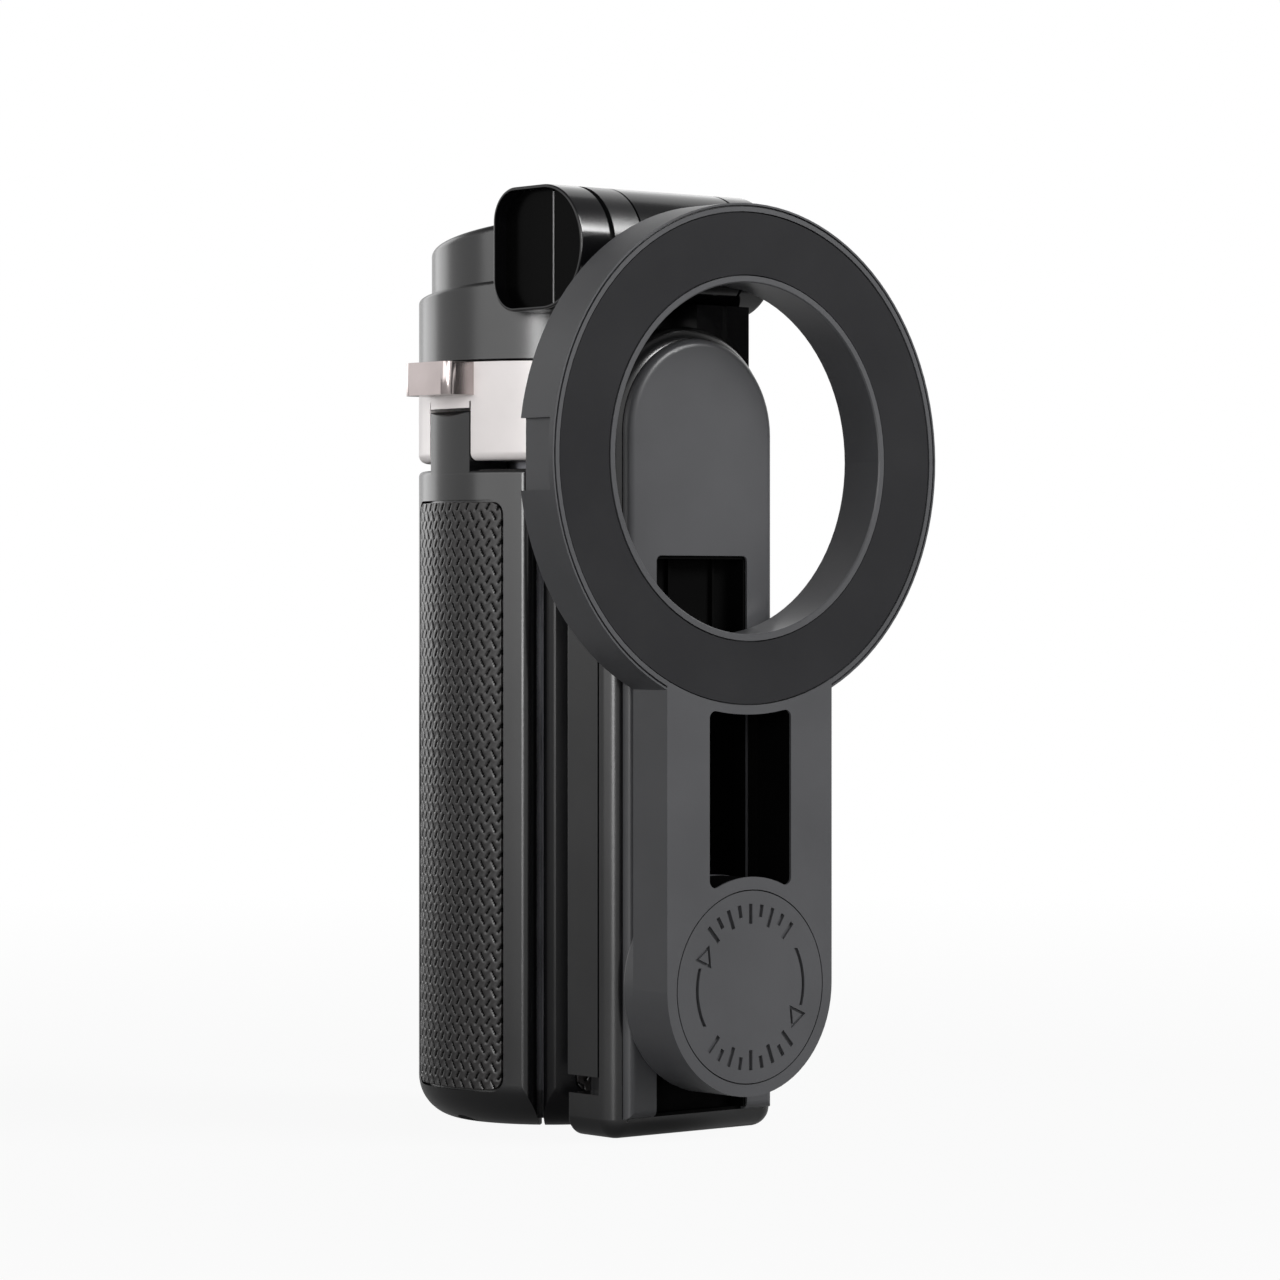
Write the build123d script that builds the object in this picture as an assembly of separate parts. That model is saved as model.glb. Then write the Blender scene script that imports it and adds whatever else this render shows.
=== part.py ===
from build123d import *
import os
from math import sin, cos, pi, radians, sqrt

os.makedirs("parts", exist_ok=True)

# ---- driving values (mm, +Z up, -Y is the phone side, floor at Z 0) ----
# ring that carries the phone
ring_r = 30.35
ring_band = 9.45
ring_hole_r = ring_r - ring_band
ring_z = 81.1
face_y = -27.0
plate_t = 6.2
pad_margin = 1.15
pad_inset = 0.95
pad_out_r = ring_r - pad_margin
pad_in_r = ring_hole_r + pad_inset
pad_gap = 0.15
pad_depth = 0.8
pad_t = 0.7
magnet_out_r = pad_out_r - 0.6
magnet_in_r = pad_in_r + 1.35
magnet_t = 2.4
notch_half = 4.2
notch_floor_x = ring_r - 1.05
seam_wall = 0.22
seam_w = 0.23
seam_out_r = ring_r - seam_wall
seam_in_r = seam_out_r - seam_w
seam_deep = 0.5
liner_t = 0.4
liner_lip = 0.3
# swinging arm and its pivot
arm_half = 13.05
pivot_z = 18.25
boss_t = 2.1
window_half = 6.46
window_top_r = ring_r + 0.1
window_low_r = arm_half + 0.05
disc_r = arm_half - 1.6
disc_t = 1.2
mark_deep = 0.35
arc_r = disc_r - 3.05
arc_w = 0.45
# motor in the pivot
bell_r = disc_r - 0.55
bell_wall = 0.9
rotor_magnet_t = 0.7
air_gap = 0.2
post_r = 3.6
bearing_r = 2.6
bearing_t = 2.0
shaft_r = 1.5
shaft_end_y = -16.5
bell_floor_t = 0.8
stator_front_y = -24.3
stator_back_y = -21.6
stator_teeth = 12
post_front_y = -24.6
flange_r = 6.8
flange_y = -16.4
# sliding front frame
frame_y = -17.05
frame_t = 2.55
frame_round = 2.4
plate_half = arm_half - 1.55
plate_proud = 1.15
frame_top_z = 84.25
recess_half = 7.2
recess_low_z = 2.45
recess_high_z = 69.6
recess_floor_y = -15.3
foot_h = 5.2
back_y = -8.4
# housing behind the frame
seam_gap = 0.3
housing_low_z = foot_h + 2.15
rod_x = arm_half - 3.25
rod_y = -10.9
rod_r = 1.25
rod_top_z = 60.0
rod_low_z = 1.0
strip_half = 6.0
strip_front_y = -13.6
strip_back_y = -13.0
strip_low_z = 2.0
strip_top_z = 52.0
# inside the housing
cavity_half = 7.2
cavity_y = -12.4
cavity_low_z = 12.0
cavity_high_z = 82.0
cover_y = -9.2
cover_half = 8.5
cover_gap = 0.1
side_y = -10.8
port_z = 68.0
button_z = 77.5
cover_screw_r = 0.9
cover_screw_x = 6.6
cover_screw_z = (13.4, 80.6)
cell_half = 6.9
# fold hinge
barrel_y = -8.1
barrel_z = 106.55
barrel_r = 7.5
barrel_left = -6.9
barrel_right = 9.9
barrel_end = 14.8
pin_r = 2.0
cheek_in = -12.2
cheek_out = -16.6
cheek_back_y = 1.35
rim_w = 0.35
cheek_groove = 0.8
neck_left = 2.9
neck_right = 11.3
neck_back_y = -6.75
neck_low_z = 90.0
# handle
handle_y = 10.3
handle_r = 16.7
cap_r = handle_r - 1.6
collar_low = 81.3
collar_high = 93.35
head_low = collar_high + 0.3
head_slope = 5.3
head_mid_z = 103.3 - 0.105 * (handle_y - 3)
cap_slope = 9.2
cap_mid_z = 109.3
head_in_r = 14.5
head_screw_r = 0.8
head_screw_at = 11.8
head_screw_deg = (20, 90, 160)
head_core_top = 104.5
pin_left_x = -14.0
lug_half = 4.5
lug_low_z = 89.3
# telescopic pole
tube_r = 9.6
tube_wall = 0.85
tube_step = 1.0
tube_low_z = 4.0
thread_r = 2.6
thread_deep = 6.0
# legs
leg_top = 80.25
leg_in_r = 10.2
leg_half_deg = 43.4
leg_round = 5.2
leg_pin_r = 0.9
leg_pin_at = 13.5
leg_pin_z = 84.4
tongue_half = 3.85
tongue_r = 3.1
tongue_top = leg_pin_z + 3.0
slot_half = 4.05
slot_top = tongue_top + 0.35
slot_lip = 0.45
slot_room = 0.85
lug_out_x = -20.2
cord_hole_r = 0.8
grip_half = 8.3
grip_low = 4.3
grip_high = 76.5
grip_t = 0.8
foot_r = 1.9
foot_t = 1.6
foot_at = 12.6
run_gap = 0.03
trim_gap = 0.15


def disc_x(r, x0, x1, y, z):
    return Pos(x0, y, z) * Rot(0, 90, 0) * Cylinder(r, x1 - x0, align=(Align.CENTER, Align.CENTER, Align.MIN))


def disc_y(r, y0, y1, x, z):
    upright = Cylinder(r, y1 - y0, align=(Align.CENTER, Align.CENTER, Align.MIN))
    return Pos(x, y0, z) * Rot(-90, 0, 0) * upright


def disc_z(r, z0, z1, x=0.0, y=handle_y):
    return Pos(x, y, z0) * Cylinder(r, z1 - z0, align=(Align.CENTER, Align.CENTER, Align.MIN))


def block(x0, x1, y0, y1, z0, z1):
    return Pos((x0 + x1) / 2, (y0 + y1) / 2, (z0 + z1) / 2) * Box(x1 - x0, y1 - y0, z1 - z0)


def slab(sketch, y0, y1):
    # sketch is drawn with X right and Z up
    return extrude(Plane.XZ.offset(-y0) * sketch, amount=y0 - y1)


def tube_z(outer, inner, z0, z1):
    return disc_z(outer, z0, z1) - disc_z(inner, z0 - 1, z1 + 1)


def edges_in(shape, y0, y1):
    # edges lying wholly between two Y planes
    found = []
    for edge in shape.edges():
        box = edge.bounding_box()
        if box.min.Y > y0 and box.max.Y < y1:
            found.append(edge)
    return found


def save(name, shape):
    export_step(shape, f"parts/{name}.step")
    print(name, round(shape.volume, 1))


# ---- ring and arm ----
def window_sketch(grow):
    shape = Pos(0, 42) * Rectangle(2 * (window_half + grow), 40)
    shape -= Pos(0, ring_z) * Circle(window_top_r - grow)
    shape -= Pos(0, pivot_z) * Circle(window_low_r - grow)
    return fillet(shape.vertices(), 0.9 + grow)


def window_liner():
    # dark sleeve that sits behind a thin lip of the arm
    sleeve = window_sketch(liner_t + 0.1) - window_sketch(0.1)
    return slab(sleeve, face_y + liner_lip, face_y + plate_t)


def ring_seam():
    groove = disc_y(seam_out_r, face_y, face_y + seam_deep, 0, ring_z)
    groove -= disc_y(seam_in_r, face_y, face_y + seam_deep, 0, ring_z)
    return groove - block(-arm_half, arm_half, face_y - 1, 0, 0, ring_z)


def ring_arm():
    back_face = face_y + plate_t
    outline = Pos(0, ring_z) * Circle(ring_r)
    outline += Pos(0, (pivot_z + 60) / 2) * Rectangle(2 * arm_half, 60 - pivot_z)
    outline += Pos(0, pivot_z) * Circle(arm_half)
    outline -= Pos(0, ring_z) * Circle(ring_hole_r)
    outline -= window_sketch(0)
    body = slab(outline, face_y, back_face)
    rim = 2 * pi * ring_hole_r
    front = [e for e in edges_in(body, face_y - 0.01, face_y + 0.01) if abs(e.length - rim) < 1]
    body = chamfer(front, 0.15)
    body -= slab(window_sketch(liner_t + 0.1), face_y + liner_lip, back_face)
    body -= ring_seam()
    pad = disc_y(pad_out_r + pad_gap, face_y, face_y + pad_depth, 0, ring_z)
    pad -= disc_y(pad_in_r - pad_gap, face_y, face_y + pad_depth, 0, ring_z)
    body -= pad
    groove_end = face_y + pad_depth + magnet_t
    groove = disc_y(magnet_out_r, face_y, groove_end, 0, ring_z)
    groove -= disc_y(magnet_in_r, face_y, groove_end, 0, ring_z)
    body -= groove
    body -= disc_y(disc_r + trim_gap, face_y, face_y + disc_t, 0, pivot_z)
    body -= disc_y(bell_r + 0.05, face_y, back_face, 0, pivot_z)
    low, high = ring_z - notch_half, ring_z + notch_half
    body -= block(-ring_r - 1, -notch_floor_x, face_y + 0.8, back_face, low, high)
    return body


def ring_pad():
    y0 = face_y + pad_depth - pad_t
    pad = disc_y(pad_out_r, y0, face_y + pad_depth, 0, ring_z)
    return pad - disc_y(pad_in_r, y0, face_y + pad_depth, 0, ring_z)


def magnet_ring():
    y0 = face_y + pad_depth
    y1 = y0 + magnet_t
    ring = disc_y(magnet_out_r, y0, y1, 0, ring_z)
    ring -= disc_y(magnet_in_r, y0, y1, 0, ring_z)
    for i in range(18):
        gap = Pos(0, y0, ring_z) * Rot(0, i * 20, 0) * Pos(26, 0.8, 0) * Box(8, 1.6, 0.3)
        ring -= gap
    return ring


def arrow_cut(turn):
    # a curved arrow sunk in the disc face, its head an outlined triangle
    y1 = face_y + mark_deep
    arc = disc_y(arc_r + arc_w / 2, face_y, y1, 0, pivot_z)
    arc -= disc_y(arc_r - arc_w / 2, face_y, y1, 0, pivot_z)
    arc &= Pos(-8, face_y, pivot_z - 0.85) * Box(8, 4, 6.9)
    head = Polygon((-6.5, 5.3), (-8.8, 3.6), (-6.2, 2.5), align=None)
    head -= offset(head, amount=-0.33)
    tip = slab(Pos(0, pivot_z) * head, face_y, y1)
    return Pos(0, 0, pivot_z) * Rot(0, turn, 0) * Pos(0, 0, -pivot_z) * (arc + tip)


def tick_cut(turn, length):
    # a radial mark whose outer end lies 9.9 mm from the disc centre
    spot = Pos(0, face_y, pivot_z) * Rot(0, turn, 0) * Pos(0, mark_deep / 2, 9.9 - length / 2)
    return spot * Box(0.55, mark_deep, length)


def pivot_disc():
    disc = disc_y(disc_r, face_y, face_y + disc_t, 0, pivot_z)
    disc -= arrow_cut(0)
    disc -= arrow_cut(180)
    for base in (0, 180):
        for i in range(-4, 5):
            disc -= tick_cut(base + 10.5 * i, 2.4 if i % 2 == 0 else 1.5)
    return disc


def boss_cover():
    y0 = face_y + plate_t
    cover = disc_y(arm_half, y0, y0 + boss_t, 0, pivot_z)
    back = edges_in(cover, y0 + boss_t - 0.01, y0 + boss_t + 0.01)
    cover = fillet(back, 0.5)
    return cover - disc_y(post_r + 0.5, y0, y0 + boss_t, 0, pivot_z)


# ---- pivot motor ----
def motor_bell():
    y0 = face_y + disc_t
    y1 = face_y + plate_t - 0.3
    bell = disc_y(bell_r, y0, y1, 0, pivot_z)
    bell -= disc_y(bell_r - bell_wall, y0 + bell_floor_t, y1, 0, pivot_z)
    return bell + disc_y(shaft_r, y0, shaft_end_y, 0, pivot_z)


def motor_magnets():
    y0 = face_y + disc_t + bell_floor_t
    y1 = face_y + plate_t - 0.5
    r = bell_r - bell_wall
    return disc_y(r, y0, y1, 0, pivot_z) - disc_y(r - rotor_magnet_t, y0, y1, 0, pivot_z)


def motor_stator():
    r = bell_r - bell_wall - rotor_magnet_t - air_gap
    core = disc_y(r, stator_front_y, stator_back_y, 0, pivot_z)
    core -= disc_y(post_r, stator_front_y, stator_back_y, 0, pivot_z)
    middle = (stator_front_y + stator_back_y) / 2
    for i in range(stator_teeth):
        turn = Pos(0, middle, pivot_z) * Rot(0, i * 360 / stator_teeth, 0)
        core -= turn * Pos(r - 2.5, 0, 0) * Box(3.0, 4, 1.5)
        core -= turn * Pos(r - 0.5, 0, 0) * Box(2.0, 4, 0.4)
    return core


def motor_post():
    post = disc_y(post_r, post_front_y, recess_floor_y, 0, pivot_z)
    post += disc_y(flange_r, flange_y, recess_floor_y, 0, pivot_z)
    return post - disc_y(bearing_r, post_front_y, recess_floor_y, 0, pivot_z)


def motor_bearings():
    front = post_front_y + 0.1
    back = shaft_end_y - 0.5
    pair = disc_y(bearing_r, front, front + bearing_t, 0, pivot_z)
    pair += disc_y(bearing_r, back - bearing_t, back, 0, pivot_z)
    return pair - disc_y(shaft_r + run_gap, front - 0.5, back + 1, 0, pivot_z)


# ---- sliding frame ----
def stadium(half, low, top_centre):
    shape = Pos(0, (low + top_centre) / 2) * Rectangle(2 * half, top_centre - low)
    return shape + Pos(0, top_centre) * Circle(half)


def slide_frame():
    y1 = frame_y + frame_t
    outline = stadium(arm_half, 0, frame_top_z)
    corners = outline.vertices().sort_by(Axis.Y)[:2]
    outline = fillet(corners, frame_round)
    body = slab(outline, frame_y, y1)
    body = fillet(edges_in(body, frame_y - 0.01, frame_y + 0.01), frame_round)
    foot = Pos(0, foot_h / 2) * Rectangle(2 * arm_half, foot_h)
    foot = fillet(foot.vertices().sort_by(Axis.Y)[:2], frame_round)
    foot_body = slab(foot, y1 - 0.01, back_y)
    foot_body = fillet(edges_in(foot_body, back_y - 0.01, back_y + 0.01), 0.6)
    body += foot_body
    body -= block(-recess_half, recess_half, frame_y, recess_floor_y, recess_low_z, recess_high_z)
    for side in (-1, 1):
        body -= disc_z(rod_r, rod_low_z, foot_h, side * rod_x, rod_y)
    body -= block(-strip_half, strip_half, strip_front_y, strip_back_y, strip_low_z, foot_h)
    return body


def recess_liner():
    # dark tray inside the recess, with two rails on its floor
    y0 = frame_y - plate_proud + liner_lip
    wide = recess_half - liner_t
    tall = recess_high_z - recess_low_z
    tray = Pos(0, recess_low_z + tall / 2) * Rectangle(2 * recess_half, tall)
    tray = fillet(tray.vertices().sort_by(Axis.Y)[2:], 0.7)
    body = slab(tray, y0, recess_floor_y)
    floor_y = recess_floor_y - liner_t
    body -= block(-wide, wide, y0 - 1, floor_y, recess_low_z + liner_t, recess_high_z - liner_t)
    body -= block(-recess_half, recess_half, y0 - 1, frame_y, 0, recess_low_z + liner_t)
    body -= disc_y(flange_r + 0.05, frame_y, recess_floor_y, 0, pivot_z)
    for x in (-3.5, 3.5):
        body += block(x - 0.2, x + 0.2, floor_y - 0.5, floor_y, 33, recess_high_z - liner_t)
    return body


def front_plate():
    outline = stadium(plate_half, recess_low_z, frame_top_z)
    body = slab(outline, frame_y - plate_proud, frame_y)
    front = edges_in(body, frame_y - plate_proud - 0.01, frame_y - plate_proud + 0.01)
    body = fillet(front, 1.0)
    hole = Pos(0, recess_high_z / 2) * Rectangle(2 * recess_half, recess_high_z)
    hole = fillet(hole.vertices().sort_by(Axis.Y)[2:], 0.7)
    return body - slab(hole, frame_y - 3, frame_y)


def guide_rods():
    rods = disc_z(rod_r, rod_low_z, rod_top_z, -rod_x, rod_y)
    return rods + disc_z(rod_r, rod_low_z, rod_top_z, rod_x, rod_y)


def friction_strip():
    return block(-strip_half, strip_half, strip_front_y, strip_back_y, strip_low_z, strip_top_z)


# ---- housing ----
def arm_housing():
    y0 = frame_y + frame_t + seam_gap
    outline = stadium(arm_half, housing_low_z, frame_top_z)
    body = slab(outline, y0, back_y)
    body = fillet(edges_in(body, back_y - 0.01, back_y + 0.01), 0.3)
    for side in (-1, 1):
        body -= disc_z(rod_r + 0.05, housing_low_z - 1, rod_top_z + 0.6, side * rod_x, rod_y)
    room = strip_half + 0.2
    body -= block(-room, room, strip_front_y - 0.15, strip_back_y + 0.15, housing_low_z - 1, strip_top_z + 1)
    body -= block(-cavity_half, cavity_half, cavity_y, cover_y, cavity_low_z, cavity_high_z)
    seat = cover_half + cover_gap
    body -= block(-seat, seat, cover_y, back_y, cavity_low_z - 1.4, cavity_high_z + 1.4)
    body -= block(7.0, 11.6, cavity_y, cover_y, port_z - 4.8, cavity_high_z)
    body -= Pos(12, side_y, port_z) * Box(4, 3.3, 9.2)
    body -= Pos(12, side_y, button_z) * Box(4, 2.9, 6.1)
    body -= block(neck_left, 14, y0 - 1, back_y + 1, neck_low_z, 100)
    return body


def housing_cover():
    middle = (cavity_low_z + cavity_high_z) / 2
    tall = cavity_high_z - cavity_low_z + 2.8 - 2 * cover_gap
    outline = Pos(0, middle) * Rectangle(2 * cover_half, tall)
    cover = slab(fillet(outline.vertices(), 0.6), cover_y, back_y)
    for x in (-cover_screw_x, cover_screw_x):
        for z in cover_screw_z:
            cover -= disc_y(cover_screw_r, cover_y, back_y, x, z)
    return cover


def cover_screws():
    screws = []
    for x in (-cover_screw_x, cover_screw_x):
        for z in cover_screw_z:
            head = disc_y(cover_screw_r, cover_y, back_y - 0.15, x, z)
            head -= Pos(x, back_y - 0.3, z) * Box(1.2, 0.5, 0.3)
            screws.append(head)
    return Compound(children=screws)


def battery():
    cell = block(-cell_half, cell_half, cavity_y, cover_y, 15.2, 57.0)
    return fillet(cell.edges().filter_by(Axis.Z), 1.0)


def control_board():
    board_y = cavity_y + 0.8
    board = block(-cell_half, 5.6, cavity_y, board_y, 58.0, 81.0)
    board += block(-5.0, 0.5, board_y, board_y + 1.0, 62.0, 67.5)
    board += block(-5.0, -1.5, board_y, board_y + 0.7, 70.0, 74.0)
    # push switch that reaches over to the side button
    return board + block(3.0, 9.9, board_y - 0.1, board_y + 1.6, button_z - 1.9, button_z + 1.9)


def usb_port():
    shell = Pos(9.35, side_y, port_z) * Box(7.3, 3.2, 9.0)
    shell = fillet(shell.edges().filter_by(Axis.X), 1.4)
    hollow = Pos(10.2, side_y, port_z) * Box(6.2, 2.5, 8.3)
    shell -= fillet(hollow.edges().filter_by(Axis.X), 1.1)
    return shell + Pos(9.0, side_y, port_z) * Box(5.6, 0.7, 6.6)


def power_button():
    body = Pos(12.5, side_y, button_z) * Box(2.1, 2.7, 5.9)
    body = fillet(body.edges().filter_by(Axis.X), 1.2)
    flange = Pos(10.95, side_y, button_z) * Box(1.0, 2.9, 7.0)
    return body + flange - Pos(13.6, side_y, button_z) * Box(0.3, 0.5, 2.5)


# ---- fold hinge ----
def hinge_knuckle():
    barrel = disc_x(barrel_r, barrel_left, barrel_right, barrel_y, barrel_z)
    neck = block(neck_left, neck_right, -13.9, neck_back_y, neck_low_z, barrel_z - 6.4)
    neck -= block(neck_left - 1, neck_right + 1, back_y, neck_back_y + 1, neck_low_z - 1, 92.0)
    neck -= block(6.9, 7.7, -15, -13.5, neck_low_z, 101.0)
    neck -= disc_x(barrel_r, barrel_right, barrel_end, barrel_y, barrel_z)
    body = barrel + neck
    ring = disc_x(barrel_r + 1, barrel_right - 0.4, barrel_right, barrel_y, barrel_z)
    ring -= disc_x(barrel_r - 0.3, barrel_right - 0.4, barrel_right, barrel_y, barrel_z)
    body -= ring & block(-20, 20, -30, 20, 100, 120)
    return body - disc_x(pin_r + run_gap, -20, 20, barrel_y, barrel_z)


def barrel_end_cap():
    cap = disc_x(barrel_r, barrel_right, barrel_end, barrel_y, barrel_z)
    cap = fillet(cap.edges().filter_by(GeomType.CIRCLE).sort_by(Axis.X)[-1], 0.9)
    return cap - disc_x(4.4, barrel_right, 13.3, barrel_y, barrel_z)


def hinge_washer():
    x0 = barrel_right + 0.05
    ring = disc_x(4.0, x0, x0 + 0.6, barrel_y, barrel_z)
    return ring - disc_x(pin_r, x0, x0 + 0.6, barrel_y, barrel_z)


def hinge_pin():
    return disc_x(pin_r, pin_left_x, 12.6, barrel_y, barrel_z)


def pin_nut():
    nut = Pos(10.6, barrel_y, barrel_z) * Rot(0, 90, 0) * extrude(RegularPolygon(3.6, 6), amount=1.8)
    return nut - disc_x(pin_r, 10, 13, barrel_y, barrel_z)


def cheek_profile(inset):
    # bullet outline in the YZ plane, drawn with X as Y and Y as Z
    high = barrel_r - inset
    back = cheek_back_y - inset
    shape = Pos((barrel_y + back) / 2, barrel_z) * Rectangle(back - barrel_y, 2 * high)
    shape += Pos(barrel_y, barrel_z) * Circle(high)
    corners = shape.vertices().sort_by(Axis.X)[-2:]
    return fillet(corners, 4.0 - inset)


def cheek_body(inset, x0, x1):
    return extrude(Plane.YZ.offset(x0) * cheek_profile(inset), amount=x1 - x0)


def hinge_cheek():
    body = cheek_body(0, cheek_out, cheek_in)
    outer = [e for e in body.edges() if e.bounding_box().max.X < cheek_out + 0.01]
    body = fillet(outer, 0.2)
    body -= cheek_body(rim_w, cheek_out - 1, cheek_out + 2.3)
    return body - disc_x(pin_r, pin_left_x, cheek_in, barrel_y, barrel_z)


def cheek_inlay():
    x0 = cheek_out + 1.8
    body = cheek_body(rim_w + 0.04, x0, cheek_out + 2.3)
    return body - block(x0, x0 + 0.2, barrel_y - 0.12, barrel_y + 0.12, 90, 120)


# ---- head ----
def slope_cut(z_mid, slope):
    # everything above a plane that rises toward the front
    big = Pos(0, 0, 30) * Box(90, 90, 60)
    return Pos(0, handle_y, z_mid) * Rot(-slope, 0, 0) * big


def barrel_clear():
    clear = disc_x(barrel_r + 0.35, -7.2, 18, barrel_y, barrel_z)
    return clear + block(-7.2, 18, -30, barrel_y, 99, 120)


def head_collar():
    body = disc_z(handle_r, head_low, 110) - slope_cut(head_mid_z, head_slope)
    top = body.edges().filter_by(GeomType.ELLIPSE)
    body = fillet(top, 0.5)
    body -= disc_z(head_in_r, head_low + 2.0, 112)
    body -= disc_z(tube_r - 3 * tube_step, head_low - 1, head_low + 4)
    body -= barrel_clear()
    body -= cheek_body(0, cheek_out, cheek_in)
    body -= block(cheek_in, -7.2, barrel_y, 2.0, 99.3, 112)
    for x, y in screw_spots():
        body -= disc_z(head_screw_r, head_low, head_low + 2.5, x, y)
        body -= disc_z(1.5, head_low, head_low + 1.0, x, y)
    return body


def screw_spots():
    spots = []
    for deg in head_screw_deg:
        angle = radians(deg)
        spots.append((head_screw_at * cos(angle), handle_y + head_screw_at * sin(angle)))
    return spots


def head_cap():
    cap = disc_z(cap_r, 98, 115) - slope_cut(cap_mid_z, cap_slope)
    cap = fillet(cap.edges().filter_by(GeomType.ELLIPSE), 0.9)
    lower = tube_z(30, head_in_r, 90, 115)
    lower -= slope_cut(head_mid_z, head_slope)
    cap -= lower
    cap -= disc_z(10.4, 97, head_core_top, 0, 13.2)
    for x, y in screw_spots():
        cap += disc_z(2.2, head_low + 2.0, head_core_top, x, y) & disc_z(head_in_r, 90, 110)
    bridge = block(cheek_in, -7.2, barrel_y, 2.0, 99.3, 109.0)
    bridge += disc_x(barrel_r, cheek_in, -7.2, barrel_y, barrel_z)
    groove_end = cheek_in + cheek_groove
    bridge -= disc_x(30, cheek_in, groove_end, barrel_y, barrel_z) - cheek_body(0.6, cheek_in, groove_end)
    cap += bridge
    cap -= barrel_clear()
    cap -= cheek_body(0, cheek_out, cheek_in)
    cap -= disc_x(pin_r, -20, 0, barrel_y, barrel_z)
    for x, y in screw_spots():
        cap -= disc_z(head_screw_r, head_low, head_low + 7.0, x, y)
    return cap


def head_core():
    core = disc_z(7.3, head_low + 2.0, head_core_top)
    return core - disc_z(tube_r - 3 * tube_step, head_low, 102.0)


def cap_screws():
    screws = []
    for x, y in screw_spots():
        screw = disc_z(head_screw_r, head_low + 1.0, head_low + 6.5, x, y)
        screw += disc_z(1.45, head_low + 0.1, head_low + 1.0, x, y)
        screws.append(screw)
    return Compound(children=screws)


# ---- pole ----
def pole_tube(step, low, high):
    outer = tube_r - step * tube_step
    return tube_z(outer, outer - tube_wall, low, high)


def tube_plug():
    plug = disc_z(tube_r - tube_wall, 0.6, tube_low_z + 1.4)
    plug += disc_z(tube_r, 0.6, tube_low_z)
    plug += disc_z(4.2, 0.6, thread_deep + 1.0)
    return plug - disc_z(thread_r, 0, 0.6 + thread_deep)


# ---- legs, drawn at +X of the handle axis and turned into place ----
def leg_place(deg):
    return Pos(0, handle_y, 0) * Rot(0, 0, deg)


def leg_blank(inner):
    profile = Pos(handle_r / 2, leg_top / 2) * Rectangle(handle_r, leg_top)
    low = profile.vertices().group_by(Axis.Y)[0].sort_by(Axis.X)[-1]
    profile = fillet(low, leg_round)
    high = profile.vertices().group_by(Axis.Y)[-1].sort_by(Axis.X)[-1]
    profile = fillet(high, 0.6)
    solid = revolve(Plane.XZ * profile, Axis.Z, 360)
    a = radians(leg_half_deg)
    far = 40.0
    wedge = Polygon((0, 0), (far * cos(a), -far * sin(a)), (far * cos(a), far * sin(a)), align=None)
    wedge &= Circle(handle_r)
    wedge -= Circle(inner)
    outer_tips = [v for v in wedge.vertices() if sqrt(v.X ** 2 + v.Y ** 2) > 15]
    wedge = fillet(outer_tips, 1.5)
    return solid & Pos(0, 0, -1) * extrude(wedge, amount=leg_top + 2)


def grip_prism(half, low, high, corner):
    outline = Pos(0, (low + high) / 2) * Rectangle(2 * half, high - low)
    outline = fillet(outline.vertices(), corner)
    return extrude(Plane.YZ * outline, amount=30)


def leg_shell(inner):
    return Cylinder(handle_r + 1, 200) - Cylinder(inner, 200)


def tongue():
    # its inner top corner is round about the pin, its outer side lies flush with the leg
    low = leg_top - 0.5
    side = Pos(leg_pin_at, (low + tongue_top) / 2) * Rectangle(2 * tongue_r + 0.4, tongue_top - low)
    top = side.vertices().group_by(Axis.Y)[-1].sort_by(Axis.X)
    side = fillet(top[0], tongue_r - 0.2)
    outer = side.vertices().group_by(Axis.Y)[-1].sort_by(Axis.X)[-1]
    side = fillet(outer, 1.1)
    body = slab(side, -tongue_half, tongue_half) & disc_z(handle_r, 0, 120, 0, 0)
    return body - block(0, leg_pin_at - tongue_r, -9, 9, low, tongue_top)


def leg(inner, bored):
    body = leg_blank(inner)
    floor_r = handle_r - grip_t
    body -= grip_prism(grip_half, grip_low, grip_high, 1.8) & leg_shell(floor_r)
    body += tongue()
    body -= disc_y(leg_pin_r + (run_gap if bored else 0), -8, 8, leg_pin_at, leg_pin_z)
    body -= disc_z(foot_r, 0, foot_t, foot_at, 0)
    return body


def grip(blank):
    band = grip_prism(grip_half - 0.15, grip_low + 0.15, grip_high - 0.15, 1.7)
    return blank & band & leg_shell(handle_r - grip_t)


def leg_foot(blank):
    return blank & disc_z(foot_r, 0, foot_t, foot_at, 0)


def leg_collar():
    body = disc_z(handle_r, collar_low, collar_high)
    low_edge = body.edges().filter_by(GeomType.CIRCLE).sort_by(Axis.Z)[0]
    body = fillet(low_edge, 1.0)
    body -= disc_z(tube_r, collar_low - 1, collar_high + 1)
    for deg in (0, 90, 180, 270):
        inside = tube_r - 3
        lip = handle_r - slot_lip
        slot = block(inside, 20, -slot_half, slot_half, collar_low - 1, slot_top)
        slot += block(inside, lip, -slot_half, slot_half, slot_top - 1, slot_top + slot_room)
        hole = disc_y(leg_pin_r, -6.6, 6.6, leg_pin_at, leg_pin_z)
        body -= leg_place(deg) * slot
        body -= leg_place(deg) * hole
    return body


def leg_pins():
    pins = []
    for deg in (0, 90, 180, 270):
        pins.append(leg_place(deg) * disc_y(leg_pin_r, -6.6, 6.6, leg_pin_at, leg_pin_z))
    return Compound(children=pins)


def strap_lug():
    lug = block(lug_out_x, -10, handle_y - lug_half, handle_y + lug_half, lug_low_z, collar_high)
    lug = fillet(lug.edges().filter_by(Axis.Z).group_by(Axis.X)[0], 1.3)
    lug -= disc_z(handle_r, 80, 100)
    return lug - disc_z(cord_hole_r, 80, 100, lug_out_x + 1.7, handle_y)


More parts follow.
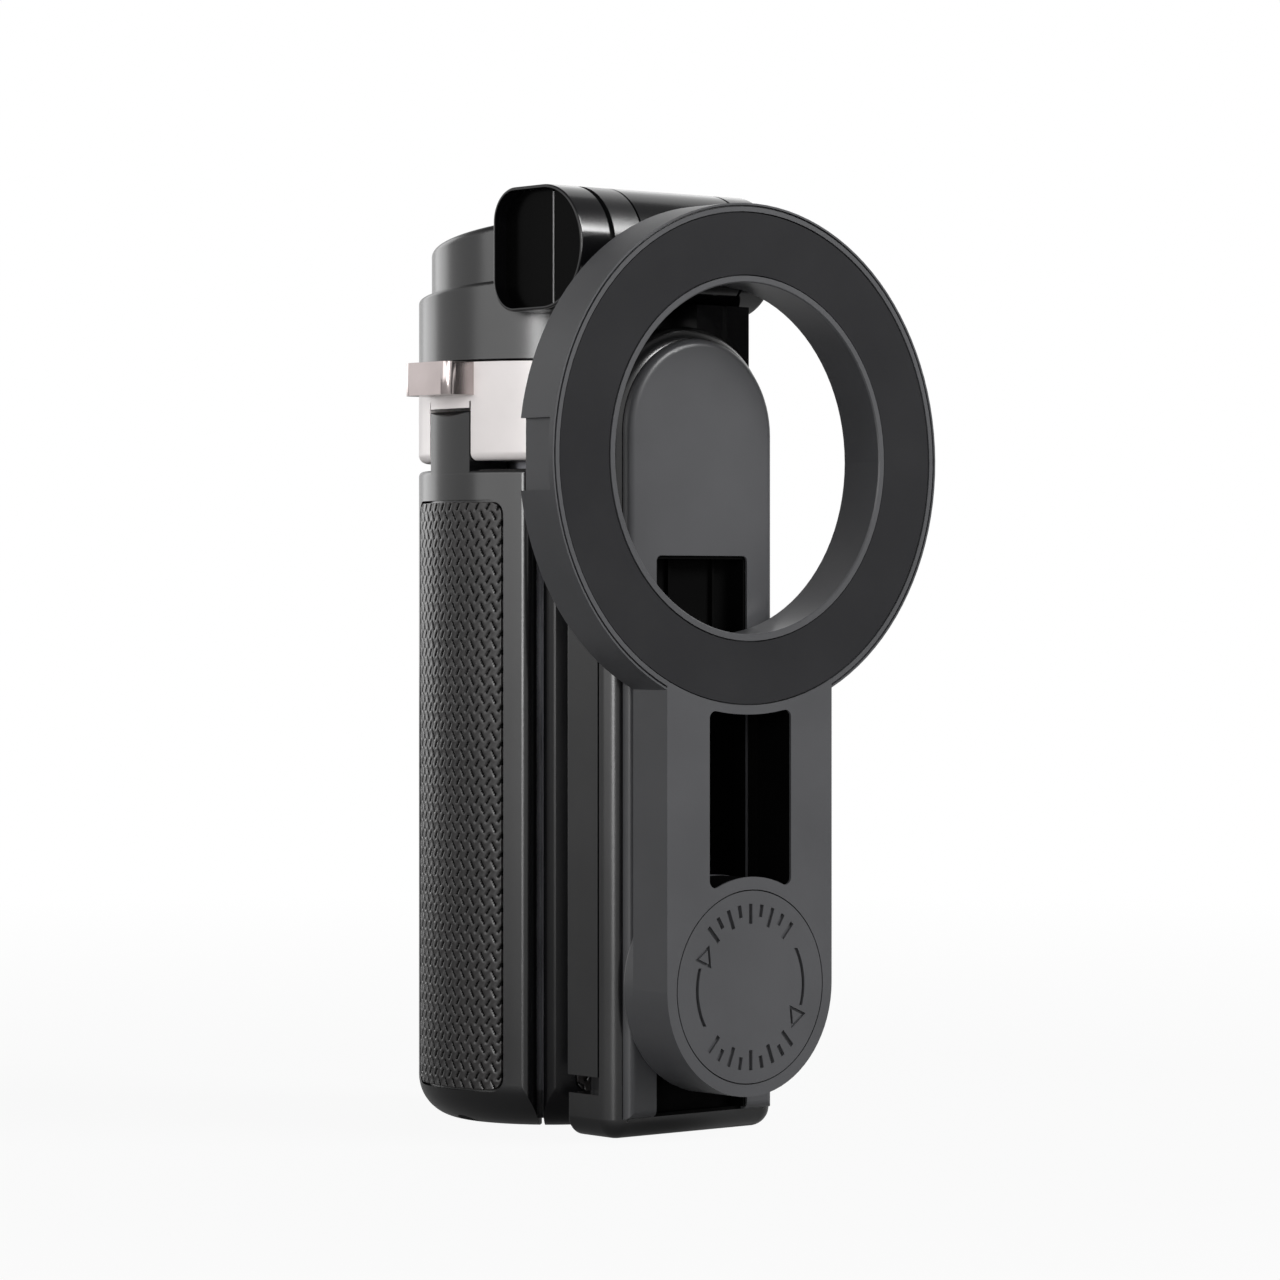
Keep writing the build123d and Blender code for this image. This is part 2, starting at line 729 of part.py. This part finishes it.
def build():
    save("ring_arm", ring_arm())
    save("window_liner", window_liner())
    save("ring_pad", ring_pad())
    save("magnet_ring", magnet_ring())
    save("pivot_disc", pivot_disc())
    save("boss_cover", boss_cover())
    save("motor_bell", motor_bell())
    save("motor_magnets", motor_magnets())
    save("motor_stator", motor_stator())
    save("motor_post", motor_post())
    save("motor_bearings", motor_bearings())
    save("slide_frame", slide_frame())
    save("recess_liner", recess_liner())
    save("front_plate", front_plate())
    save("guide_rods", guide_rods())
    save("friction_strip", friction_strip())
    save("arm_housing", arm_housing())
    save("housing_cover", housing_cover())
    save("cover_screws", cover_screws())
    save("battery", battery())
    save("control_board", control_board())
    save("usb_port", usb_port())
    save("power_button", power_button())
    save("hinge_knuckle", hinge_knuckle())
    save("barrel_end_cap", barrel_end_cap())
    save("hinge_washer", hinge_washer())
    save("hinge_pin", hinge_pin())
    save("pin_nut", pin_nut())
    save("hinge_cheek", hinge_cheek())
    save("cheek_inlay", cheek_inlay())
    save("head_collar", head_collar())
    save("head_cap", head_cap())
    save("head_core", head_core())
    save("cap_screws", cap_screws())
    save("outer_tube", pole_tube(0, tube_low_z, collar_high))
    for step, low in ((1, 6.0), (2, 7.0)):
        save(f"pole_section_{step}", pole_tube(step, low, collar_high))
    save("pole_section_3", pole_tube(3, 8.0, 102.0))
    save("tube_plug", tube_plug())
    save("leg_collar", leg_collar())
    save("leg_pins", leg_pins())
    save("strap_lug", strap_lug())
    blank = leg_blank(leg_in_r)
    moving = leg(leg_in_r, True)
    band = grip(blank)
    for name, deg in (("left", 180), ("right", 0), ("back", 90)):
        save(f"leg_{name}", leg_place(deg) * moving)
        save(f"grip_{name}", leg_place(deg) * band)
        save(f"foot_{name}", leg_place(deg) * leg_foot(blank))
    save("front_spine", leg_place(270) * leg(tube_r + 0.05, False))
    save("grip_front", leg_place(270) * band)


build()
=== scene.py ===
import math
import bmesh
import bpy
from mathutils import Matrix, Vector


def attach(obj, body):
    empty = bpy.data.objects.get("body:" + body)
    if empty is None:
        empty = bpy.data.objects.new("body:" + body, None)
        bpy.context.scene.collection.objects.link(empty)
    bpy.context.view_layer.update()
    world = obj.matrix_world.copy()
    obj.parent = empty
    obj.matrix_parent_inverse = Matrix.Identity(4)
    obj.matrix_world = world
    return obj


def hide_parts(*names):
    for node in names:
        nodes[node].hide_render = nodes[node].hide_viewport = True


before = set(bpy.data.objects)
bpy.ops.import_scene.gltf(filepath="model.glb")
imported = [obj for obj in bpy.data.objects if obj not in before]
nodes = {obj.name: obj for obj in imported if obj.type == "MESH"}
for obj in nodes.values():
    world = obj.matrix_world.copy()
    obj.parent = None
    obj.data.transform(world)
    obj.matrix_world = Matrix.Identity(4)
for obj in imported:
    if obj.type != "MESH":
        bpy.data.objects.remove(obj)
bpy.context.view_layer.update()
print("frame loaded:", len(nodes), "nodes")

# materials
nodeGrid = (220, 180)  # one step to the right and one step up in the shader editor
noiseDetail = {"mottle": 4.0, "smear": 3.0, "grain": 2.0}
noiseSpread = (0.3, 0.7)  # the middle of the noise, which a finish spreads over its whole range
grainDepth = 0.00002


def addNode(tree, kind, column, row, **values):
    node = tree.nodes.new(kind)
    node.location = (column * nodeGrid[0], row * nodeGrid[1])
    for key, value in values.items():
        setattr(node, key, value)
    return node


def startMaterial(name):
    material = bpy.data.materials.new(name)
    material.use_nodes = True
    tree = material.node_tree
    return material, tree, tree.nodes["Principled BSDF"]


def stretched(tree, coords, scale):
    mapping = addNode(tree, "ShaderNodeMapping", -4, -1)
    mapping.inputs["Scale"].default_value = scale
    tree.links.new(coords, mapping.inputs["Vector"])
    return mapping.outputs["Vector"]


def noise(tree, vector, scale, detail, row):
    node = addNode(tree, "ShaderNodeTexNoise", -3, row)
    node.inputs["Scale"].default_value = scale
    node.inputs["Detail"].default_value = detail
    tree.links.new(vector, node.inputs["Vector"])
    return node.outputs["Fac"]


def ramp(tree, value, reach, ends, row):
    node = addNode(tree, "ShaderNodeMapRange", -2, row)
    node.inputs["From Min"].default_value, node.inputs["From Max"].default_value = reach
    node.inputs["To Min"].default_value, node.inputs["To Max"].default_value = ends
    tree.links.new(value, node.inputs["Value"])
    return node.outputs["Result"]


def colourBetween(tree, value, dark, light):
    node = addNode(tree, "ShaderNodeMix", -1, 1, data_type="RGBA")
    node.inputs["A"].default_value = (*dark, 1)
    node.inputs["B"].default_value = (*light, 1)
    tree.links.new(value, node.inputs["Factor"])
    return node.outputs["Result"]


def bumpFrom(tree, shader, height, strength):
    node = addNode(tree, "ShaderNodeBump", -1, -2)
    node.inputs["Strength"].default_value = strength
    node.inputs["Distance"].default_value = grainDepth
    tree.links.new(height, node.inputs["Height"])
    tree.links.new(node.outputs["Normal"], shader.inputs["Normal"])


def finish(name, spec):
    # one recipe: mottled colour, uneven roughness and a fine surface grain
    material, tree, shader = startMaterial(name)
    coords = addNode(tree, "ShaderNodeTexCoord", -5, 0).outputs["Object"]
    vector = stretched(tree, coords, spec.get("stretch", (1, 1, 1)))
    mottle = noise(tree, coords, spec["mottleScale"], noiseDetail["mottle"], 1)
    mottle = ramp(tree, mottle, noiseSpread, (0, 1), 1)
    tree.links.new(colourBetween(tree, mottle, spec["dark"], spec["light"]), shader.inputs["Base Color"])
    smear = noise(tree, vector, spec["smearScale"], noiseDetail["smear"], 0)
    tree.links.new(ramp(tree, smear, noiseSpread, spec["rough"], 0), shader.inputs["Roughness"])
    grain = noise(tree, vector, spec["grainScale"], noiseDetail["grain"], -2)
    bumpFrom(tree, shader, grain, spec["grain"])
    shader.inputs["Metallic"].default_value = spec.get("metal", 0.0)
    shader.inputs["Specular IOR Level"].default_value = spec.get("specular", 0.5)
    return material


# dark and light are the two tones of the mottling, rough the two ends of the roughness
finishes = {
    "mouldedBlack": {
        "dark": (0.046, 0.0465, 0.0495), "light": (0.054, 0.0545, 0.058), "mottleScale": 90,
        "rough": (0.32, 0.40), "smearScale": 60, "grain": 0.3, "grainScale": 5200, "specular": 0.36},
    "softSatinBlack": {
        "dark": (0.0045, 0.0045, 0.005), "light": (0.0065, 0.0065, 0.007), "mottleScale": 70,
        "rough": (0.20, 0.27), "smearScale": 50, "grain": 0.15, "grainScale": 5200, "specular": 0.68},
    # painted shade: a darker, less reflective copy of the soft satin black, for parts that sit in shade
    "satinPaintedShade": {
        "dark": (0.0035, 0.0035, 0.004), "light": (0.005, 0.005, 0.0055), "mottleScale": 70,
        "rough": (0.20, 0.27), "smearScale": 50, "grain": 0.15, "grainScale": 5200, "specular": 0.2},
    "polishedBlack": {
        "dark": (0.0025, 0.0025, 0.003), "light": (0.004, 0.004, 0.0045), "mottleScale": 60,
        "rough": (0.10, 0.17), "smearScale": 45, "grain": 0.04, "grainScale": 2500},
    # the inlay's own black, made darker and duller still as painted shade of its recessed dish
    "insetBlackWithPaintedShade": {
        "dark": (0.0008, 0.0008, 0.0008), "light": (0.0014, 0.0014, 0.0014), "mottleScale": 60,
        "rough": (0.18, 0.28), "smearScale": 45, "grain": 0.04, "grainScale": 2500, "specular": 0.03},
    # painted shade: a near-black, almost unreflecting finish standing in for the shade inside the recess and
    # the arm window
    "recessPaintedShade": {
        "dark": (0.0010, 0.0010, 0.0010), "light": (0.0018, 0.0018, 0.0018), "mottleScale": 70,
        "rough": (0.40, 0.55), "smearScale": 50, "grain": 0.2, "grainScale": 4200, "specular": 0.02},
    "padRubber": {
        "dark": (0.0135, 0.0135, 0.0148), "light": (0.0175, 0.0175, 0.0188), "mottleScale": 80,
        "rough": (0.62, 0.72), "smearScale": 70, "grain": 0.4, "grainScale": 7000, "specular": 0.1},
    "gripRubber": {
        "dark": (0.012, 0.011, 0.011), "light": (0.020, 0.018, 0.018), "mottleScale": 120,
        "rough": (0.26, 0.34), "smearScale": 90, "grain": 0.25, "grainScale": 4200},
    # painted shade for the sunk dashes of the woven grips
    "dashPaintedShade": {
        "dark": (0.0010, 0.0010, 0.0010), "light": (0.0020, 0.0020, 0.0020), "mottleScale": 120,
        "rough": (0.45, 0.60), "smearScale": 90, "grain": 0.2, "grainScale": 4200, "specular": 0.05},
    "pearlSilver": {
        "dark": (0.85, 0.805, 0.795), "light": (0.91, 0.865, 0.855), "mottleScale": 140,
        "rough": (0.34, 0.42), "smearScale": 60, "grain": 0.2, "grainScale": 6000, "metal": 0.1,
        "specular": 0.35},
    "roseMetal": {
        "dark": (0.50, 0.44, 0.43), "light": (0.60, 0.53, 0.52), "mottleScale": 140,
        "rough": (0.14, 0.20), "smearScale": 80, "grain": 0.15, "grainScale": 6000, "metal": 0.9},
    # painted highlight: a pale grey for the thin bright line down the glossy hinge cheek
    "highlightPaintGrey": {
        "dark": (0.30, 0.30, 0.30), "light": (0.36, 0.36, 0.36), "mottleScale": 140,
        "rough": (0.25, 0.35), "smearScale": 80, "grain": 0.1, "grainScale": 6000},
    "turnedSteel": {
        "dark": (0.42, 0.42, 0.43), "light": (0.58, 0.58, 0.60), "mottleScale": 160,
        "rough": (0.22, 0.38), "smearScale": 220, "grain": 0.3, "grainScale": 1800, "metal": 1.0,
        "stretch": (1, 1, 0.08)},
    "anodisedTube": {
        "dark": (0.10, 0.10, 0.11), "light": (0.14, 0.14, 0.15), "mottleScale": 60,
        "rough": (0.28, 0.42), "smearScale": 260, "grain": 0.3, "grainScale": 2600, "metal": 0.9,
        "stretch": (1, 1, 0.04)},
    "nickelMagnet": {
        "dark": (0.55, 0.55, 0.56), "light": (0.66, 0.66, 0.66), "mottleScale": 90,
        "rough": (0.18, 0.30), "smearScale": 120, "grain": 0.1, "grainScale": 2600, "metal": 1.0},
    "copperWinding": {
        "dark": (0.50, 0.22, 0.09), "light": (0.68, 0.34, 0.16), "mottleScale": 800,
        "rough": (0.25, 0.40), "smearScale": 300, "grain": 0.6, "grainScale": 1600, "metal": 0.9},
    "foilPouch": {
        "dark": (0.55, 0.57, 0.60), "light": (0.66, 0.68, 0.70), "mottleScale": 120,
        "rough": (0.28, 0.45), "smearScale": 90, "grain": 0.5, "grainScale": 700, "metal": 0.8},
    "greenBoard": {
        "dark": (0.012, 0.075, 0.035), "light": (0.02, 0.11, 0.05), "mottleScale": 500,
        "rough": (0.30, 0.42), "smearScale": 200, "grain": 0.4, "grainScale": 1400},
}
materials = {name: finish(name, spec) for name, spec in finishes.items()}

nodeFinish = {
    "mouldedBlack": ["ring_arm", "pivot_disc", "boss_cover", "front_plate", "housing_cover", "head_core",
                     "tube_plug"],
    "softSatinBlack": ["head_collar", "head_cap", "leg_left", "leg_right", "leg_back", "slide_frame",
                       "arm_housing"],
    # painted shade: the front spine and the guide rods and friction strip in the slot take the darker satin
    # copy
    "satinPaintedShade": ["front_spine", "guide_rods", "friction_strip"],
    "polishedBlack": ["hinge_knuckle", "barrel_end_cap", "hinge_cheek", "power_button"],
    "insetBlackWithPaintedShade": ["cheek_inlay"],
    # painted shade: the recess and window liners and the strips behind the arm window take the near-black
    # finish
    "recessPaintedShade": ["recess_liner", "window_liner"],
    "padRubber": ["ring_pad", "foot_left", "foot_right", "foot_back"],
    "gripRubber": ["grip_left", "grip_right", "grip_back", "grip_front"],
    "pearlSilver": ["leg_collar"],
    "roseMetal": ["strap_lug"],
    "turnedSteel": ["cover_screws", "usb_port", "hinge_washer", "hinge_pin", "pin_nut", "cap_screws",
                    "leg_pins", "motor_bell", "motor_bearings"],
    "anodisedTube": ["outer_tube", "pole_section_1", "pole_section_2", "pole_section_3", "motor_post"],
    "nickelMagnet": ["magnet_ring", "motor_magnets"],
    "copperWinding": ["motor_stator"],
    "foilPouch": ["battery"],
    "greenBoard": ["control_board"],
}


def paint(obj, material):
    if not obj.data.materials:
        obj.data.materials.append(material)
    for slot in obj.material_slots:
        slot.material = material


for finishName, names in nodeFinish.items():
    for name in names:
        paint(nodes[name], materials[finishName])
print("finishes on", sum(len(names) for names in nodeFinish.values()), "nodes")

# softened edges of the strap lug
softEdges = {"nodes": ["strap_lug"], "weld": 0.000005, "width": 0.00035, "segments": 3, "angle": 50}


def addBevel(obj, name, spec):
    bevel = obj.modifiers.new(name, "BEVEL")
    bevel.width = spec["width"]
    bevel.segments = spec["segments"]
    bevel.limit_method = "ANGLE"
    bevel.angle_limit = math.radians(spec["angle"])
    return bevel


for name in softEdges["nodes"]:
    weld = nodes[name].modifiers.new("weld", "WELD")
    weld.merge_threshold = softEdges["weld"]
    addBevel(nodes[name], "softEdge", softEdges).harden_normals = True
print("edges softened on", len(softEdges["nodes"]), "nodes")

# woven grips
grip = {
    "pitchX": 0.00148, "pitchZ": 0.00224, "across": 11, "along": 32,  # one repeat of the weave, and how many
    "stepsX": 12, "stepsZ": 16,  # faces in one repeat
    "half": 0.00804, "low": 0.00456, "high": 0.07624, "corner": 0.0015,
    "axisY": 0.0103, "surface": 0.01668, "thick": 0.00072,
    # dashShadeReach is how near a dash a face lies to take the painted shade
    "dashShadeReach": 0.00013, "dashHalf": 0.00026, "dashDeep": 0.00013, "strand": 0.00003,
}
gripRim = {"width": 0.00015, "segments": 2, "angle": 60}
# one repeat of the weave holds a tall dash leaning one way and a short one leaning the other
dashes = [
    {"at": (0.25, 0.25), "reach": (-0.00021, 0.00043)},
    {"at": (0.75, 0.75), "reach": (0.00019, 0.00036)},
]
gripPlaces = {
    "woven_grip_left": {"turn": 180, "body": "left_leg", "node": "grip_left"},
    "woven_grip_right": {"turn": 0, "body": "right_leg", "node": "grip_right"},
    "woven_grip_back": {"turn": 90, "body": "back_leg", "node": "grip_back"},
    "woven_grip_front": {"turn": 270, "body": "handle", "node": "grip_front"},
}


def dashDistance(x, z, dash):
    # shortest way from a point of the repeat to the dash or to its copies next door
    best = 1.0
    reachX, reachZ = dash["reach"]
    length = reachX * reachX + reachZ * reachZ
    for shiftX in (-1, 0, 1):
        for shiftZ in (-1, 0, 1):
            dx = x - (dash["at"][0] + shiftX) * grip["pitchX"]
            dz = z - (dash["at"][1] + shiftZ) * grip["pitchZ"]
            along = max(-1.0, min(1.0, (dx * reachX + dz * reachZ) / length))
            best = min(best, math.hypot(dx - along * reachX, dz - along * reachZ))
    return best


def nearestDash(x, z):
    x, z = x % grip["pitchX"], z % grip["pitchZ"]
    return min(dashDistance(x, z, dash) for dash in dashes)


def weaveHeight(x, z):
    wall = min(1.0, nearestDash(x, z) / grip["dashHalf"])
    swell = math.cos(2 * math.pi * (x / grip["pitchX"] - z / grip["pitchZ"]))
    return -grip["dashDeep"] * (1 - wall * wall * (3 - 2 * wall)) + grip["strand"] * (swell - 1) / 2


def gripHalves():
    return grip["half"], (grip["high"] - grip["low"]) / 2


def gripSheet():
    # flat sheet, X across and Y up, its weave sunk in Z
    halfW, halfH = gripHalves()
    mesh = bmesh.new()
    bmesh.ops.create_grid(mesh, x_segments=grip["across"] * grip["stepsX"],
                          y_segments=grip["along"] * grip["stepsZ"], size=1)
    bmesh.ops.scale(mesh, vec=(halfW, halfH, 1), verts=mesh.verts)
    for vert in mesh.verts:
        vert.co.z = weaveHeight(vert.co.x + halfW, vert.co.y + halfH)
    for face in mesh.faces:
        centre = face.calc_center_median()
        # faces near a dash take the second material, painted shade in the sunk dashes
        face.material_index = int(nearestDash(centre.x + halfW, centre.y + halfH) < grip["dashShadeReach"])
    return mesh


def roundCorners(mesh):
    halfW, halfH = gripHalves()
    radius = grip["corner"]
    for vert in mesh.verts:
        dx = abs(vert.co.x) - (halfW - radius)
        dy = abs(vert.co.y) - (halfH - radius)
        if dx > 0 and dy > 0:
            # a square corner patch becomes a quarter disc
            scale = max(dx, dy) / math.hypot(dx, dy)
            vert.co.x = math.copysign(halfW - radius + dx * scale, vert.co.x)
            vert.co.y = math.copysign(halfH - radius + dy * scale, vert.co.y)


def wrapGrip(mesh, turn):
    # the flat sheet is laid around the axis of the handle
    middle = (grip["low"] + grip["high"]) / 2
    for vert in mesh.verts:
        radius = grip["surface"] + vert.co.z
        angle = math.radians(turn) + math.asin(vert.co.x / grip["surface"])
        up = vert.co.y + middle
        vert.co = Vector((radius * math.cos(angle), grip["axisY"] + radius * math.sin(angle), up))


def addObject(name, data):
    obj = bpy.data.objects.new(name, data)
    bpy.context.scene.collection.objects.link(obj)
    return obj


def meshData(name, mesh):
    data = bpy.data.meshes.new(name)
    mesh.to_mesh(data)
    mesh.free()
    return data


def newPiece(name, mesh, material, body):
    obj = addObject(name, meshData(name, mesh))
    obj.data.materials.append(material)
    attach(obj, body)
    return obj


def addGrip(sheet, name, spec):
    mesh = sheet.copy()
    wrapGrip(mesh, spec["turn"])
    rim = [edge for edge in mesh.edges if edge.is_boundary]
    wall = bmesh.ops.extrude_edge_only(mesh, edges=rim)
    for vert in [part for part in wall["geom"] if isinstance(part, bmesh.types.BMVert)]:
        out = Vector((vert.co.x, vert.co.y - grip["axisY"], 0)).normalized()
        vert.co -= out * grip["thick"]
    bmesh.ops.holes_fill(mesh, edges=[edge for edge in mesh.edges if edge.is_boundary])
    bmesh.ops.recalc_face_normals(mesh, faces=mesh.faces)
    for face in mesh.faces:
        face.smooth = True
    obj = newPiece(name, mesh, materials["gripRubber"], spec["body"])
    # second material: painted shade in the dashes
    obj.data.materials.append(materials["dashPaintedShade"])
    addBevel(obj, "softRim", gripRim)
    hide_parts(spec["node"])


sheet = gripSheet()
roundCorners(sheet)
for name, spec in gripPlaces.items():
    addGrip(sheet, name, spec)
sheet.free()
print("woven grips done:", len(gripPlaces))

# painted light strips: a pale grey line down the hinge cheek as a painted highlight, and two thin near-black
# strips on the front plate, behind the ring arm's window, as painted shade
paintedLightStrips = {
    # painted highlight: a pale grey strip where the hinge cheek shows a bright line
    "cheek_painted_highlight": {
        "low": (-0.01490, -0.00818, 0.0998), "high": (-0.01461, -0.00802, 0.1133), "round": 0.00004,
        "finish": "highlightPaintGrey", "body": "head", "slot": "gloss_black"},
    # painted shade: thin near-black strips on the front plate where the arm window leaves it in shadow
    "painted_shade_strip_left": {
        "low": (-0.0096, -0.01852, 0.0305), "high": (-0.0073, -0.01819, 0.0540), "round": 0.00012,
        "finish": "recessPaintedShade", "body": "slider", "slot": "pad_rubber"},
    "painted_shade_strip_right": {
        "low": (0.0073, -0.01852, 0.0305), "high": (0.0096, -0.01819, 0.0540), "round": 0.00012,
        "finish": "recessPaintedShade", "body": "slider", "slot": "pad_rubber"},
}


def addPaintedLightStrip(name, spec):
    low, high = Vector(spec["low"]), Vector(spec["high"])
    mesh = bmesh.new()
    bmesh.ops.create_cube(mesh, size=1)
    bmesh.ops.scale(mesh, vec=high - low, verts=mesh.verts)
    bmesh.ops.translate(mesh, vec=(low + high) / 2, verts=mesh.verts)
    bmesh.ops.bevel(mesh, geom=mesh.edges[:], offset=spec["round"], affect="EDGES", segments=2, profile=0.5,
                    material=-1)
    newPiece(name, mesh, materials[spec["finish"]], spec["body"])


for name, spec in paintedLightStrips.items():
    addPaintedLightStrip(name, spec)
print("trims done:", len(paintedLightStrips))

# stage, lamps and camera
white = (1, 1, 1, 1)
floorSpec = {"size": 3.0, "colour": (0.3, 0.3, 0.3, 1), "rough": 0.9, "mirrored": 0.10,
             "fade": (0.10, 0.45), "whiteness": (0.93, 1.0)}
worldSpec = {"daylight": 0.12, "mirrored": 1.0, "height": (0.3, 0.75), "whiteness": (1.0, 0.12)}
lampAim = (0, 0, 0.06)
lamps = {
    "keyFront": {"at": (0.62, -1.00, 0.90), "size": (0.6, 0.6), "power": 26.0},
    "softLeft": {"at": (-1.05, -0.10, 0.27), "size": (1.0, 0.5), "power": 2.4},
    "edgeStrip": {"at": (-0.867, -0.677, 0.25), "size": (0.25, 0.5), "power": 4.4},
    "rimBehind": {"at": (-0.12, 0.90, 0.30), "size": (0.5, 0.6), "power": 1.6},
    "topRight": {"at": (0.70, 0.45, 0.65), "size": (0.6, 0.6), "power": 0.8},
}
cameraSpec = {"at": (-0.36776, -0.4419, 0.06389), "tilt": 90, "turn": -40.18, "lens": 131.13, "sensor": 36,
              "shiftX": 0.0008, "shiftY": -0.0288}


def rayShare(tree, rays, share, row):
    # a share of white that only the named kinds of ray see
    path = addNode(tree, "ShaderNodeLightPath", -3, row)
    either = addNode(tree, "ShaderNodeMath", -2, row, operation="MAXIMUM")
    tree.links.new(path.outputs[rays[0]], either.inputs[0])
    tree.links.new(path.outputs[rays[-1]], either.inputs[1])
    part = addNode(tree, "ShaderNodeMath", -1, row, operation="MULTIPLY")
    part.inputs[1].default_value = share
    tree.links.new(either.outputs[0], part.inputs[0])
    return part


def whiten(tree, plain, surface, kind, seen, mirrored):
    # plain white mixed over a surface, as far as a ray sees it
    share = addNode(tree, "ShaderNodeMath", 0, 4, operation="MAXIMUM")
    tree.links.new(seen.outputs[0], share.inputs[0])
    tree.links.new(mirrored.outputs[0], share.inputs[1])
    glow = addNode(tree, kind, 0, 3)
    glow.inputs["Color"].default_value = white
    glow.inputs["Strength"].default_value = 1.0
    mix = addNode(tree, "ShaderNodeMixShader", 1, 4)
    tree.links.new(share.outputs[0], mix.inputs["Fac"])
    tree.links.new(plain.outputs[0], mix.inputs[1])
    tree.links.new(glow.outputs[0], mix.inputs[2])
    tree.links.new(mix.outputs[0], surface)


def fadeOut(tree, seen):
    # the floor keeps a shadow near the object and turns plain white farther off
    coords = addNode(tree, "ShaderNodeTexCoord", -4, 6)
    far = addNode(tree, "ShaderNodeVectorMath", -3, 6, operation="LENGTH")
    tree.links.new(coords.outputs["Object"], far.inputs[0])
    fade = ramp(tree, far.outputs["Value"], floorSpec["fade"], floorSpec["whiteness"], 6)
    tree.links.new(fade, seen.inputs[1])


def darkenZenith(tree, mirrored):
    # reflections see a white wall near the horizon and a dim ceiling
    coords = addNode(tree, "ShaderNodeTexCoord", -4, 1)
    parts = addNode(tree, "ShaderNodeSeparateXYZ", -3, 1)
    tree.links.new(coords.outputs["Generated"], parts.inputs["Vector"])
    dim = ramp(tree, parts.outputs["Z"], worldSpec["height"], worldSpec["whiteness"], 1)
    tree.links.new(dim, mirrored.inputs[1])


def addFloor():
    mesh = bmesh.new()
    bmesh.ops.create_grid(mesh, x_segments=2, y_segments=2, size=floorSpec["size"])
    floor = addObject("floor", meshData("floor", mesh))
    material, tree, shader = startMaterial("paleFloor")
    shader.inputs["Base Color"].default_value = floorSpec["colour"]
    shader.inputs["Roughness"].default_value = floorSpec["rough"]
    surface = tree.nodes["Material Output"].inputs["Surface"]
    seen = rayShare(tree, ["Is Camera Ray"], 1.0, 5)
    mirrored = rayShare(tree, ["Is Glossy Ray", "Is Transmission Ray"], floorSpec["mirrored"], 3)
    whiten(tree, shader, surface, "ShaderNodeEmission", seen, mirrored)
    fadeOut(tree, seen)
    floor.data.materials.append(material)


def addWorld():
    world = bpy.data.worlds.new("studio")
    bpy.context.scene.world = world
    world.use_nodes = True
    tree = world.node_tree
    plain = tree.nodes["Background"]
    plain.inputs["Color"].default_value = white
    plain.inputs["Strength"].default_value = worldSpec["daylight"]
    surface = tree.nodes["World Output"].inputs["Surface"]
    seen = rayShare(tree, ["Is Camera Ray"], 1.0, 5)
    mirrored = rayShare(tree, ["Is Glossy Ray", "Is Transmission Ray"], worldSpec["mirrored"], 3)
    whiten(tree, plain, surface, "ShaderNodeBackground", seen, mirrored)
    darkenZenith(tree, mirrored)


def addLamp(name, spec):
    data = bpy.data.lights.new(name, "AREA")
    data.shape = "RECTANGLE"
    data.size, data.size_y = spec["size"]
    data.energy = spec["power"]
    lamp = addObject(name, data)
    lamp.location = spec["at"]
    aim = Vector(lampAim) - Vector(spec["at"])
    lamp.rotation_euler = aim.to_track_quat("-Z", "Y").to_euler()


def addCamera():
    data = bpy.data.cameras.new("camera")
    data.lens = cameraSpec["lens"]
    data.sensor_width = cameraSpec["sensor"]
    data.shift_x = cameraSpec["shiftX"]
    data.shift_y = cameraSpec["shiftY"]
    camera = addObject("camera", data)
    camera.location = cameraSpec["at"]
    camera.rotation_euler = (math.radians(cameraSpec["tilt"]), 0, math.radians(cameraSpec["turn"]))
    bpy.context.scene.camera = camera


addFloor()
addWorld()
for name, spec in lamps.items():
    addLamp(name, spec)
addCamera()
bpy.context.scene.view_settings.view_transform = "Standard"
print("stage, lamps and camera done")
